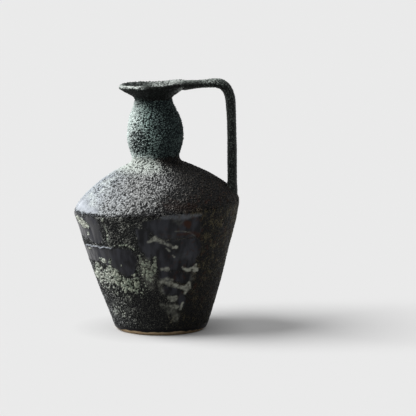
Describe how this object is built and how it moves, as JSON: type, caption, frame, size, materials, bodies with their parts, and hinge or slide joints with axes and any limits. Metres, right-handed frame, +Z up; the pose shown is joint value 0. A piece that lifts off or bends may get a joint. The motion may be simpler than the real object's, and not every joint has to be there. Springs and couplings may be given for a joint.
{
  "type": "ceramic pitcher vase",
  "caption": "Hand-built stoneware pitcher vase: slab foot, thrown cone, domed shoulder, bulb neck, dished mouth and a strap handle, with a crater glaze.",
  "frame": {"origin": "middle of the foot's flat resting face", "axes": "+Z up through the neck, +X towards the handle, +Y away from the pictured side"},
  "size_m": [0.189, 0.189, 0.2893],
  "materials": {
    "bare_clay": "unglazed tan stoneware, wiped clean round the foot",
    "gloss_glaze": "black gloss glaze broken by pale crater crusts, cream runs and rust specks",
    "crater_glaze": "coarse lavender-grey crater glaze with dark pits, smooth pools and rust specks",
    "crease_glaze": "mint-white crater glaze gathered in the crease",
    "neck_glaze": "teal-green crater glaze with dark crevices and mint-white crests",
    "mouth_glaze": "dark green-grey crater glaze with mint-white specks on the lip",
    "handle_glaze": "charcoal-green crater glaze, speckled mint on top"
  },
  "bodies": {
    "root": {"base_slab": "bare_clay", "base_seam_coil": "bare_clay", "cone_wall": "gloss_glaze", "turn_seam_coil": "bare_clay", "shoulder_dome": "crater_glaze", "neck_seam_coil": "crease_glaze", "neck_bulb": "neck_glaze", "mouth_collar": "mouth_glaze", "handle_strap": "handle_glaze"}
  },
  "joints": []
}
